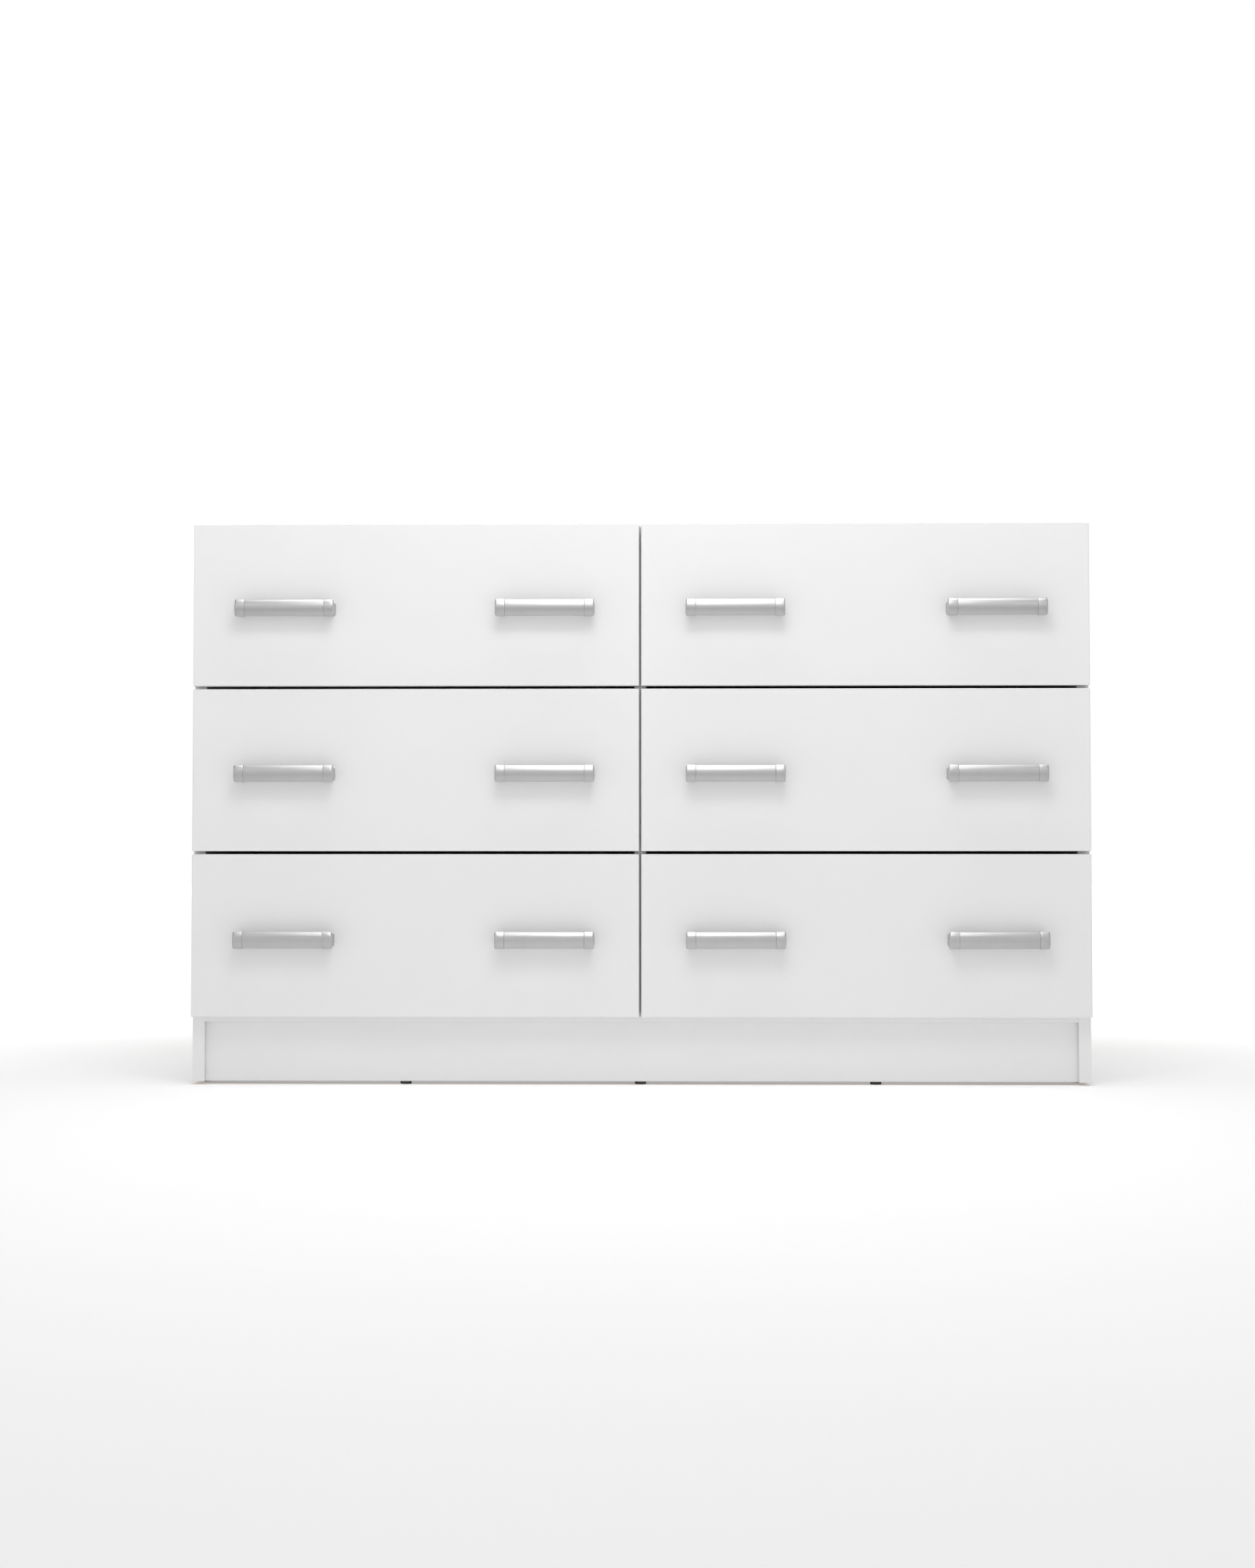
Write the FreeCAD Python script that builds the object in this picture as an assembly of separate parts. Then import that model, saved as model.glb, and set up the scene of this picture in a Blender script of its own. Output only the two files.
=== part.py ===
"""Low, wide chest of six drawers in white coated chipboard.

Millimetres. The front faces -Y, +X is to the right seen from the front, and
+Z is up. The origin is on the floor, at the middle of the chest's outline.
"""
import FreeCAD
import Part
import math
import os

V = FreeCAD.Vector
X = V(1, 0, 0)
Y = V(0, 1, 0)
Z = V(0, 0, 1)

# Overall size, without the handles
WIDTH = 1200.0
HEIGHT = 750.0
BODY_DEPTH = 400.0
HANDLE_PROJECTION = 26.0

# Boards
BOARD = 16.0
THIN_BOARD = 12.0
HARDBOARD = 3.0
BOARD_EDGE = 0.5
FRONT_EDGE = 1.0

# Drawer fronts
COLUMNS = (("left", -1), ("right", 1))
ROWS = ("bottom", "middle", "top")
ROW_GAP = 4.0
COLUMN_GAP = 3.0
FRONT_REVEAL = 1.0
FRONT_STANDOFF = 1.0
FRONT_HEIGHT = 217.0

# Plinth and floor glides
GLIDE_HEIGHT = 4.0
GLIDE_RADIUS = 7.5
GLIDE_PIN_RADIUS = 1.25
GLIDE_PIN_LENGTH = 12.0
GLIDE_SPACING = 315.0
SIDE_GLIDE_SETBACK = 50.0
PLINTH_TOP = 84.0
PLINTH_SETBACK = 8.0

# Handles
HANDLE_LENGTH = 132.0
HANDLE_OFFSET = 173.5
HANDLE_DROP = 5.5
BAR_HEIGHT = 22.0
BAR_DEPTH = 10.0
BAR_DOME = 5.0
CAP_LENGTH = 13.0
CAP_MARGIN = 0.5
LEG_WIDTH = 11.0
LEG_HEIGHT = 16.0
FOOT_WIDTH = 13.0
FOOT_HEIGHT = 20.0
FOOT_FLARE = 4.0
HANDLE_SCREW_RADIUS = 2.0
HANDLE_SCREW_BITE = 12.0

# Drawer boxes
RUNNER_SPACE = 12.5
BOX_DEPTH = 350.0
BOX_HEIGHT = 150.0
GROOVE_DEPTH = 6.0
GROOVE_HEIGHT = 12.0
BACK_DROP = 10.0

# Roller runners: height above the front's bottom edge, then their section
RUNNER_RISE = 20.0
RUNNER_LENGTH = 350.0
RUNNER_INSET = 3.0
STEEL = 1.2
TRACK_HEIGHT = 28.0
TRACK_WIDTH = 10.2
TRACK_LIP = 8.5
RAIL_LOW = 3.0
RAIL_HIGH = 20.2
RAIL_OUTER = 3.6
RAIL_FLANGE = 9.5
TRAVEL = 260.0

# Rollers
REAR_ROLLER_RADIUS = 8.5
FRONT_ROLLER_RADIUS = 9.0
ROLLER_WIDTH = 7.6
ROLLER_RUN = 0.1
ROLLER_EDGE = 0.6
AXLE_RADIUS = 2.0
AXLE_CLEARANCE = 0.05
AXLE_HEAD_RADIUS = 3.2
AXLE_HEAD = 0.8
AXLE_INSET = 12.0

# Dowels
DOWEL_RADIUS = 4.0
DOWEL_LENGTH = 24.0

# Cam fittings: disc radius, disc depth, bolt radius, board thickness, setback
CARCASS_CAM = (7.5, 12.5, 3.0, BOARD, 24.0)
DRAWER_CAM = (6.0, 9.5, 2.5, THIN_BOARD, 24.0)
BOLT_BITE = 10.0
CAM_ROW_SETBACK = 75.0
HOLE_CLEARANCE = 0.1

# Planes worked out from the sizes above
HALF = WIDTH / 2
INNER = HALF - BOARD
Y_FACE = HANDLE_PROJECTION - (BODY_DEPTH + HANDLE_PROJECTION) / 2
Y_FRONT_BACK = Y_FACE + BOARD
Y_CARCASS = Y_FRONT_BACK + FRONT_STANDOFF
STRIP_CAP = 1.0
Y_REAR = Y_FACE + BODY_DEPTH - STRIP_CAP - HARDBOARD
FRONT_PITCH = FRONT_HEIGHT + ROW_GAP
FRONTS_BOTTOM = HEIGHT - len(ROWS) * FRONT_HEIGHT - (len(ROWS) - 1) * ROW_GAP
FRONT_WIDTH = HALF - FRONT_REVEAL - COLUMN_GAP / 2
FRONT_CENTRE = COLUMN_GAP / 2 + FRONT_WIDTH / 2
BASE_TOP = PLINTH_TOP + BOARD
TOP_UNDERSIDE = HEIGHT - BOARD
Y_PLINTH = Y_CARCASS + PLINTH_SETBACK
BOX_INNER_EDGE = BOARD / 2 + RUNNER_SPACE
BOX_OUTER_EDGE = INNER - RUNNER_SPACE
Y_BOX_REAR = Y_FRONT_BACK + BOX_DEPTH
Y_RAIL = Y_FRONT_BACK + 2
Y_TRACK = Y_CARCASS + RUNNER_INSET
REAR_AXLE_Z = STEEL + ROLLER_RUN + REAR_ROLLER_RADIUS
FRONT_AXLE_Z = RAIL_HIGH - STEEL - ROLLER_RUN - FRONT_ROLLER_RADIUS
Y_REAR_AXLE = Y_RAIL + RUNNER_LENGTH - AXLE_INSET
Y_FRONT_AXLE = Y_TRACK + AXLE_INSET


def box(x0, x1, y0, y1, z0, z1):
    """A block between two corners, given in any order along X."""
    low = min(x0, x1)
    return Part.makeBox(abs(x1 - x0), y1 - y0, z1 - z0, V(low, y0, z0))


def rod(radius, start, end):
    """A round bar between two points."""
    return Part.makeCylinder(radius, (end - start).Length, start, end - start)


def board(x0, x1, y0, y1, z0, z1, edge=BOARD_EDGE):
    """A board with its edges eased."""
    blank = box(x0, x1, y0, y1, z0, z1)
    return blank.makeFillet(edge, blank.Edges)


def drilled(blank, tools):
    """The blank with every tool cut out of it."""
    return blank.cut(tools) if tools else blank


def save(name, solids):
    """Write one node, as a compound when it has several solids."""
    shape = solids[0] if len(solids) == 1 else Part.makeCompound(solids)
    shape.exportStep(os.path.join("parts", name + ".step"))


def section_along_y(points, y0, y1):
    """A closed outline in X and Z, drawn out along Y."""
    corners = [V(x, y0, z) for x, z in points]
    face = Part.Face(Part.makePolygon(corners + corners[:1]))
    return face.extrude(V(0, y1 - y0, 0))


# ---------------------------------------------------------------- fasteners


def cam_joint(face_point, face_normal, towards, cam):
    """One cam disc and its bolt, with the holes for the two boards.

    face_point is on the board's face over the disc, and towards points from
    the disc to the mating board. Returns solids, cam holes, mating hole.
    """
    disc_radius, disc_depth, bolt_radius, thickness, setback = cam
    skin = face_point - face_normal * HOLE_CLEARANCE
    floor = face_point - face_normal * disc_depth
    axis = face_point - face_normal * (thickness / 2)
    tip = axis + towards * (setback + BOLT_BITE)
    joint = axis + towards * setback
    bolt = rod(bolt_radius, axis, tip)
    disc = rod(disc_radius, floor, skin)
    slot_size = disc_radius * 1.2
    across = face_normal.cross(towards)
    for direction in (towards, across):
        start = skin - direction * (slot_size / 2)
        width = face_normal.cross(direction)
        corner = start - width * 0.8
        slot = Part.makePolygon([corner, corner + direction * slot_size,
                                 corner + direction * slot_size + width * 1.6,
                                 corner + width * 1.6, corner])
        disc = disc.cut(Part.Face(slot).extrude(face_normal * -1.5))
    disc = disc.cut(rod(bolt_radius + HOLE_CLEARANCE, axis, tip))
    disc_hole = rod(disc_radius + HOLE_CLEARANCE, floor - face_normal * HOLE_CLEARANCE,
                    face_point + face_normal)
    bolt_hole = rod(bolt_radius + HOLE_CLEARANCE, axis, joint + towards)
    mating_hole = rod(bolt_radius + HOLE_CLEARANCE, joint - towards,
                      tip + towards * HOLE_CLEARANCE)
    return [disc, bolt], [disc_hole, bolt_hole], mating_hole


def screw(head_point, direction, shank_radius, length, head_radius, head_height):
    """A screw with its pan head outside head_point, and the hole it needs."""
    crown = head_point - direction * head_height
    head = rod(head_radius, crown, head_point)
    rim = [edge for edge in head.Edges if edge.isClosed() and
           abs((edge.CenterOfMass - crown).dot(direction)) < 0.01]
    head = head.makeFillet(head_height * 0.5, rim)
    tip = head_point + direction * length
    shank = rod(shank_radius, head_point, tip)
    hole = rod(shank_radius + HOLE_CLEARANCE, head_point - direction,
               tip + direction * HOLE_CLEARANCE)
    return head.fuse(shank).removeSplitter(), hole


# ------------------------------------------------------------------ handles


def rounded_outline(width, height, radius, x, y, z):
    """A rounded rectangle in the plane across Y."""
    blank = box(x - width / 2, x + width / 2, y, y + 1, z - height / 2, z + height / 2)
    upright = [e for e in blank.Edges if abs(e.tangentAt(e.FirstParameter).y) > 0.9]
    soft = blank.makeFillet(radius, upright)
    face = min(soft.Faces, key=lambda f: f.CenterOfMass.y)
    return face.OuterWire


def bar_outline(x, z, margin):
    """The bar's section: a domed front on a straight back, grown by margin."""
    reach = BAR_HEIGHT / 2 + margin
    y_front = Y_FACE - HANDLE_PROJECTION + CAP_MARGIN - margin
    y_dome = y_front + BAR_DOME + margin
    y_back = y_front + BAR_DEPTH + margin
    dome = Part.Ellipse(V(x, y_dome, z + reach), V(x, y_front, z), V(x, y_dome, z))
    front = Part.ArcOfEllipse(dome, -math.pi, 0).toShape()
    if front.CenterOfMass.y > y_dome:
        front = Part.ArcOfEllipse(dome, 0, math.pi).toShape()
    ends = sorted((v.Point for v in front.Vertexes), key=lambda p: p.z)
    back = Part.makePolygon([ends[0], V(x, y_back, z - reach), V(x, y_back, z + reach), ends[1]])
    return Part.Wire(Part.sortEdges(back.Edges + [front])[0])


def bar_length(x0, x1, z, margin, end_radii):
    """A stretch of the bar's section between x0 and x1, with its rims rounded."""
    blank = Part.Face(bar_outline(x0, z, margin)).extrude(V(x1 - x0, 0, 0))
    back = max(vertex.Y for vertex in blank.Vertexes)
    along = [e for e in blank.Edges if len(e.Vertexes) == 2 and
             abs(abs(e.Vertexes[0].X - e.Vertexes[1].X) - abs(x1 - x0)) < 0.01
             and abs(e.CenterOfMass.y - back) < 0.01]
    blank = blank.makeFillet(1.4, along)
    for x, radius in end_radii:
        rim = [e for e in blank.Edges if abs(e.BoundBox.XMin - x) < 0.01
               and abs(e.BoundBox.XMax - x) < 0.01]
        blank = blank.makeFillet(radius, rim)
    return blank


def handle_post(x, z, outward):
    """An end cap with the leg and flared foot that carry it."""
    inner = x - outward * CAP_LENGTH / 2
    outer = x + outward * CAP_LENGTH / 2
    cap = bar_length(inner, outer, z, CAP_MARGIN, ((inner, 0.4), (outer, 2.2)))
    y_cap = Y_FACE - HANDLE_PROJECTION + BAR_DEPTH / 2
    leg_outline = rounded_outline(LEG_WIDTH, LEG_HEIGHT, 3, x, y_cap, z)
    leg = Part.Face(leg_outline).extrude(V(0, Y_FACE - FOOT_FLARE - y_cap, 0))
    neck = rounded_outline(LEG_WIDTH, LEG_HEIGHT, 3, x, Y_FACE - FOOT_FLARE, z)
    waist = rounded_outline(LEG_WIDTH + 0.5, LEG_HEIGHT + 1, 3, x, Y_FACE - FOOT_FLARE / 2, z)
    base = rounded_outline(FOOT_WIDTH, FOOT_HEIGHT, 4, x, Y_FACE, z)
    foot = Part.makeLoft([neck, waist, base], True)
    hole = rod(HANDLE_SCREW_RADIUS + AXLE_CLEARANCE, V(x, Y_FACE + 1, z),
               V(x, Y_FACE - HANDLE_SCREW_BITE - 1, z))
    return cap.fuse([leg, foot]).removeSplitter().cut(hole)


def post_positions(centre):
    """Where a handle's two posts stand along X, each with its outward sign."""
    reach = (HANDLE_LENGTH - CAP_LENGTH) / 2
    return [(centre + sign * reach, sign) for sign in (-1, 1)]


def handle(centre, z):
    """The bar and the two posts of one handle."""
    half_bar = HANDLE_LENGTH / 2 - CAP_LENGTH
    left = centre - half_bar
    right = centre + half_bar
    bar = bar_length(left, right, z, 0, ((left, 0.4), (right, 0.4)))
    return [bar] + [handle_post(x, z, sign) for x, sign in post_positions(centre)]


# ------------------------------------------------------------------ runners


def from_panel(panel_x, inward, distance):
    """A place across a runner, counted from its panel towards the drawer."""
    return panel_x + inward * distance


def cabinet_track(panel_x, inward, z):
    """The fixed runner: a C section, its stop, and the front roller's axle."""
    def at(distance):
        return from_panel(panel_x, inward, distance)

    outline = [(at(0), z), (at(TRACK_WIDTH), z), (at(TRACK_WIDTH), z + STEEL),
               (at(STEEL), z + STEEL), (at(STEEL), z + TRACK_HEIGHT - STEEL),
               (at(TRACK_LIP), z + TRACK_HEIGHT - STEEL), (at(TRACK_LIP), z + TRACK_HEIGHT),
               (at(0), z + TRACK_HEIGHT)]
    member = section_along_y(outline, Y_TRACK, Y_TRACK + RUNNER_LENGTH)
    front_clear = box(at(STEEL), at(TRACK_WIDTH + 1), Y_TRACK - 1, Y_TRACK + 2 * AXLE_INSET,
                      z - 1, z + STEEL + 1)
    member = member.cut(front_clear)
    stop_height = 3.5
    drop = REAR_AXLE_Z - STEEL - stop_height
    touch = math.sqrt(REAR_ROLLER_RADIUS ** 2 - drop ** 2)
    y_stop = Y_REAR_AXLE - TRAVEL - touch - 0.4
    stop = box(at(STEEL), at(TRACK_WIDTH), y_stop - 3, y_stop, z + STEEL, z + STEEL + stop_height)
    member = member.fuse(stop).removeSplitter()
    return [member, front_axle(panel_x, inward, z)]


def front_axle(panel_x, inward, z):
    """The pin that carries the cabinet's front roller, with its peened head."""
    start = V(from_panel(panel_x, inward, STEEL), Y_FRONT_AXLE, z + FRONT_AXLE_Z)
    neck = start + X * inward * (ROLLER_WIDTH + 0.9)
    return rod(AXLE_RADIUS, start, neck).fuse(
        rod(AXLE_HEAD_RADIUS, neck, neck + X * inward * AXLE_HEAD)).removeSplitter()


def drawer_rail(panel_x, inward, z):
    """The drawer's runner: a Z section under the side, and the rear axle."""
    def at(distance):
        return from_panel(panel_x, inward, distance)

    web = RUNNER_SPACE - STEEL
    outline = [(at(RAIL_OUTER), z + RAIL_HIGH), (at(RAIL_OUTER), z + RAIL_HIGH - STEEL),
               (at(web), z + RAIL_HIGH - STEEL), (at(web), z + RAIL_LOW),
               (at(RUNNER_SPACE + RAIL_FLANGE), z + RAIL_LOW),
               (at(RUNNER_SPACE + RAIL_FLANGE), z + RAIL_LOW + STEEL),
               (at(RUNNER_SPACE), z + RAIL_LOW + STEEL), (at(RUNNER_SPACE), z + RAIL_HIGH)]
    member = section_along_y(outline, Y_RAIL, Y_RAIL + RUNNER_LENGTH)
    start = V(at(web), Y_REAR_AXLE, z + REAR_AXLE_Z)
    neck = start - X * inward * (ROLLER_WIDTH + 0.6)
    pin = rod(AXLE_RADIUS, start, neck).fuse(
        rod(AXLE_HEAD_RADIUS, neck, neck - X * inward * AXLE_HEAD)).removeSplitter()
    return [member, pin]


def roller(start, direction, radius):
    """A nylon roller with a bore, rounded treads and a dished outer face."""
    blank = rod(radius, start, start + direction * ROLLER_WIDTH)
    rims = [e for e in blank.Edges if e.isClosed() and len(e.Vertexes) == 1
            and isinstance(e.Curve, Part.Circle)]
    blank = blank.makeFillet(ROLLER_EDGE, rims)
    dish_depth = 1.0
    outer = start + direction * ROLLER_WIDTH
    dish = rod(radius - 1.8, outer - direction * dish_depth, outer).cut(
        rod(AXLE_RADIUS + 2.2, outer - direction * dish_depth, outer))
    bore = rod(AXLE_RADIUS + AXLE_CLEARANCE, start - direction, outer + direction)
    return blank.cut([dish, bore])


def front_roller(panel_x, inward, z):
    """The roller at the front of the fixed runner, under the drawer's rail."""
    start = V(from_panel(panel_x, inward, STEEL + 0.5), Y_FRONT_AXLE, z + FRONT_AXLE_Z)
    return roller(start, X * inward, FRONT_ROLLER_RADIUS)


def rear_roller(panel_x, inward, z):
    """The roller at the back of the drawer's rail, inside the fixed runner."""
    start = V(from_panel(panel_x, inward, RUNNER_SPACE - STEEL - 0.3), Y_REAR_AXLE,
              z + REAR_AXLE_Z)
    return roller(start, X * -inward, REAR_ROLLER_RADIUS)


# ------------------------------------------------------------------ drawers


def drawer_panels(column):
    """The two panel faces beside a column, each with its inward sign."""
    near = column * BOARD / 2
    far = column * INNER
    return ((near, column), (far, -column))


def drawer_front(column, z, tools):
    """The overlay front, grooved for the bottom and drilled for its fittings."""
    centre = column * FRONT_CENTRE
    blank = box(centre - FRONT_WIDTH / 2, centre + FRONT_WIDTH / 2, Y_FACE, Y_FRONT_BACK,
                z, z + FRONT_HEIGHT)
    back_edges = [e for e in blank.Edges if abs(e.BoundBox.YMin - Y_FRONT_BACK) < 0.01]
    outer = [e for e in blank.Edges if not any(e.isSame(b) for b in back_edges)]
    blank = blank.makeFillet(FRONT_EDGE, outer)
    z_groove = z + RUNNER_RISE + RAIL_LOW + STEEL + GROOVE_HEIGHT
    groove = box(column * (BOX_INNER_EDGE + GROOVE_DEPTH), column * (BOX_OUTER_EDGE - GROOVE_DEPTH),
                 Y_FRONT_BACK - GROOVE_DEPTH, Y_FRONT_BACK + 1,
                 z_groove - HOLE_CLEARANCE, z_groove + HARDBOARD + HOLE_CLEARANCE)
    return blank.cut([groove] + tools)


def drawer_sides(column, z, tools):
    """The two side boards, each grooved on its inner face for the bottom."""
    low = z + RUNNER_RISE + RAIL_LOW + STEEL
    sides = []
    for panel_x, inward in drawer_panels(column):
        outer = from_panel(panel_x, inward, RUNNER_SPACE)
        inner = from_panel(outer, inward, THIN_BOARD)
        side = board(outer, inner, Y_FRONT_BACK, Y_BOX_REAR, low, low + BOX_HEIGHT)
        groove = box(inner - inward * GROOVE_DEPTH, inner + inward, Y_FRONT_BACK - 1, Y_BOX_REAR + 1,
                     low + GROOVE_HEIGHT - HOLE_CLEARANCE,
                     low + GROOVE_HEIGHT + HARDBOARD + HOLE_CLEARANCE)
        sides.append(side.cut([groove] + tools))
    return sides


def drawer_back(column, z, tools):
    """The back board between the sides, standing on the bottom panel."""
    low = z + RUNNER_RISE + RAIL_LOW + STEEL
    back = board(column * (BOX_INNER_EDGE + THIN_BOARD), column * (BOX_OUTER_EDGE - THIN_BOARD),
                 Y_BOX_REAR - THIN_BOARD, Y_BOX_REAR,
                 low + GROOVE_HEIGHT + HARDBOARD, low + BOX_HEIGHT - BACK_DROP)
    return back.cut(tools)


def drawer_bottom(column, z):
    """The hardboard bottom, held in the grooves on three sides."""
    low = z + RUNNER_RISE + RAIL_LOW + STEEL + GROOVE_HEIGHT
    inset = THIN_BOARD - GROOVE_DEPTH + HOLE_CLEARANCE
    return box(column * (BOX_INNER_EDGE + inset), column * (BOX_OUTER_EDGE - inset),
               Y_FRONT_BACK - GROOVE_DEPTH + HOLE_CLEARANCE, Y_BOX_REAR, low, low + HARDBOARD)


def drawer_fittings(column, z):
    """Every screw, cam disc and cam bolt of one drawer, and the holes they need.

    Returns solids, then the holes in the front, in the sides and in the back.
    """
    solids = []
    front_holes = []
    side_holes = []
    back_holes = []
    low = z + RUNNER_RISE + RAIL_LOW + STEEL
    handle_z = z + FRONT_HEIGHT / 2 - HANDLE_DROP
    for side in (-1, 1):
        for x, _ in post_positions(column * FRONT_CENTRE + side * HANDLE_OFFSET):
            fixing, hole = screw(V(x, Y_FRONT_BACK, handle_z), V(0, -1, 0), HANDLE_SCREW_RADIUS,
                                 BOARD + HANDLE_SCREW_BITE, 4.2, 2.6)
            solids.append(fixing)
            front_holes.append(hole)
    for panel_x, inward in drawer_panels(column):
        outer = from_panel(panel_x, inward, RUNNER_SPACE)
        inner = from_panel(outer, inward, THIN_BOARD)
        normal = X * inward
        for height in (45.0, BOX_HEIGHT - 35.0):
            point = V(inner, Y_FRONT_BACK + DRAWER_CAM[4], low + height)
            pair, cam_holes, mating_hole = cam_joint(point, normal, V(0, -1, 0), DRAWER_CAM)
            solids += pair
            side_holes += cam_holes
            front_holes.append(mating_hole)
            point = V(outer, Y_BOX_REAR - THIN_BOARD / 2, low + height - 10)
            fixing, hole = screw(point, normal, 1.75, 35.0, 3.5, 1.6)
            solids.append(fixing)
            side_holes.append(hole)
            back_holes.append(hole)
        for y in (Y_RAIL + 60, Y_RAIL + RUNNER_LENGTH - 60):
            point = V(outer + inward * RAIL_FLANGE / 2, y, low - STEEL)
            fixing, hole = screw(point, Z, 1.75, 11.0, 3.0, 1.4)
            solids.append(fixing)
            side_holes.append(hole)
    return solids, front_holes, side_holes, back_holes


def make_drawer(row, column_name, column, z):
    """Write the eight nodes of one drawer and of the rollers it runs on."""
    name = "drawer_" + row + "_" + column_name
    track_z = z + RUNNER_RISE
    panels = drawer_panels(column)
    fittings, front_holes, side_holes, back_holes = drawer_fittings(column, z)
    save(name + "_front", [drawer_front(column, z, front_holes)])
    save(name + "_box", drawer_sides(column, z, side_holes) + [drawer_back(column, z, back_holes)])
    save(name + "_bottom", [drawer_bottom(column, z)])
    handle_z = z + FRONT_HEIGHT / 2 - HANDLE_DROP
    handles = []
    for side in (-1, 1):
        handles += handle(column * FRONT_CENTRE + side * HANDLE_OFFSET, handle_z)
    save(name + "_handles", handles)
    rails = []
    for panel_x, inward in panels:
        member, pin = drawer_rail(panel_x, inward, track_z)
        holes = [hole for hole in side_holes if hole.BoundBox.ZMin < track_z + RAIL_LOW + STEEL]
        rails += [member.cut(holes), pin]
    save(name + "_runners", rails)
    save(name + "_fittings", fittings)
    save(name + "_rear_rollers", [rear_roller(p, s, track_z) for p, s in panels])
    save(name + "_front_rollers", [front_roller(p, s, track_z) for p, s in panels])


# ------------------------------------------------------------------ cabinet


def carcass_cams():
    """Every cam joint of the carcass: its solids, and its holes by board."""
    solids = []
    holes = {}
    front_y = Y_CARCASS + CAM_ROW_SETBACK
    rear_y = Y_REAR - CAM_ROW_SETBACK / 2
    setback = CARCASS_CAM[4]

    def add(cam_board, mating_board, point, normal, towards):
        pair, cam_holes, mating_hole = cam_joint(point, normal, towards, CARCASS_CAM)
        solids.extend(pair)
        holes.setdefault(cam_board, []).extend(cam_holes)
        holes.setdefault(mating_board, []).append(mating_hole)

    for y in (front_y, rear_y):
        for sign, side_name in ((-1, "side_panel_left"), (1, "side_panel_right")):
            add(side_name, "top_panel", V(sign * INNER, y, TOP_UNDERSIDE - setback),
                V(-sign, 0, 0), Z)
            add("base_panel", side_name, V(sign * (INNER - setback), y, PLINTH_TOP),
                V(0, 0, -1), V(sign, 0, 0))
        add("centre_partition", "top_panel", V(-BOARD / 2, y, TOP_UNDERSIDE - setback),
            V(-1, 0, 0), Z)
    plinth_z = (GLIDE_HEIGHT + PLINTH_TOP) / 2
    for sign, side_name in ((-1, "side_panel_left"), (1, "side_panel_right")):
        add("front_plinth", side_name, V(sign * (INNER - setback), Y_PLINTH + BOARD, plinth_z),
            Y, V(sign, 0, 0))
        add("rear_plinth", side_name, V(sign * (INNER - setback), Y_REAR - BOARD, plinth_z),
            V(0, -1, 0), V(sign, 0, 0))
    add("cross_rail", "front_plinth", V(-BOARD / 2, Y_PLINTH + BOARD + setback, plinth_z),
        V(-1, 0, 0), V(0, -1, 0))
    add("cross_rail", "rear_plinth", V(-BOARD / 2, Y_REAR - BOARD - setback, plinth_z),
        V(-1, 0, 0), Y)
    return solids, holes


def partition_dowels(holes):
    """The dowels between the partition and the base, adding their holes."""
    solids = []
    for y in (Y_CARCASS + CAM_ROW_SETBACK, (Y_CARCASS + Y_REAR) / 2, Y_REAR - CAM_ROW_SETBACK):
        low = V(0, y, BASE_TOP - DOWEL_LENGTH / 2)
        high = V(0, y, BASE_TOP + DOWEL_LENGTH / 2)
        solids.append(rod(DOWEL_RADIUS, low, high))
        slack = Z * HOLE_CLEARANCE
        hole = rod(DOWEL_RADIUS + HOLE_CLEARANCE, low - slack, high + slack)
        holes["centre_partition"].append(hole)
        holes["base_panel"].append(hole)
    return solids


def runner_screws(holes):
    """The screws that hold the fixed runners, adding their holes by board."""
    solids = []
    pilot = {}
    boards = {-INNER: "side_panel_left", INNER: "side_panel_right"}
    for row in range(len(ROWS)):
        z = FRONTS_BOTTOM + row * FRONT_PITCH + RUNNER_RISE
        for _, column in COLUMNS:
            for panel_x, inward in drawer_panels(column):
                name = boards.get(panel_x, "centre_partition")
                for y in (Y_TRACK + 45, Y_TRACK + RUNNER_LENGTH - 45):
                    point = V(from_panel(panel_x, inward, STEEL), y, z + 21)
                    fixing, hole = screw(point, X * -inward, 1.75, 7.0, 3.5, 1.3)
                    solids.append(fixing)
                    holes[name].append(hole)
                    pilot.setdefault(round(panel_x + inward, 2), []).append(hole)
    return solids, pilot


def back_nails(holes):
    """The nails round the back panels, adding their holes by board."""
    solids = []
    hole_list = []
    rows = [("top_panel", HEIGHT - BOARD / 2, (-450.0, -150.0, 150.0, 450.0)),
            ("base_panel", PLINTH_TOP + BOARD / 2, (-450.0, -150.0, 150.0, 450.0))]
    places = [(name, x, z) for name, z, xs in rows for x in xs]
    for name, x in (("side_panel_left", -HALF + BOARD / 2), ("side_panel_right", HALF - BOARD / 2)):
        places += [(name, x, z) for z in (170.0, 410.0, 650.0)]
    for name, x, z in places:
        point = V(x, Y_REAR + HARDBOARD, z)
        nail, hole = screw(point, V(0, -1, 0), 0.8, 20.0, 2.5, 0.8)
        solids.append(nail)
        holes[name].append(hole)
        hole_list.append(hole)
    return solids, hole_list


def glide_places():
    """Where the floor glides are nailed in: board, then X and Y."""
    y_front = Y_PLINTH + BOARD / 2
    y_rear = Y_REAR - BOARD / 2
    places = []
    for x in (-GLIDE_SPACING, 0.0, GLIDE_SPACING):
        places += [("front_plinth", x, y_front), ("rear_plinth", x, y_rear)]
    for name, x in (("side_panel_left", -HALF + BOARD / 2), ("side_panel_right", HALF - BOARD / 2)):
        for y in (Y_CARCASS + SIDE_GLIDE_SETBACK, Y_REAR - SIDE_GLIDE_SETBACK):
            places.append((name, x, y))
    return places


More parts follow.
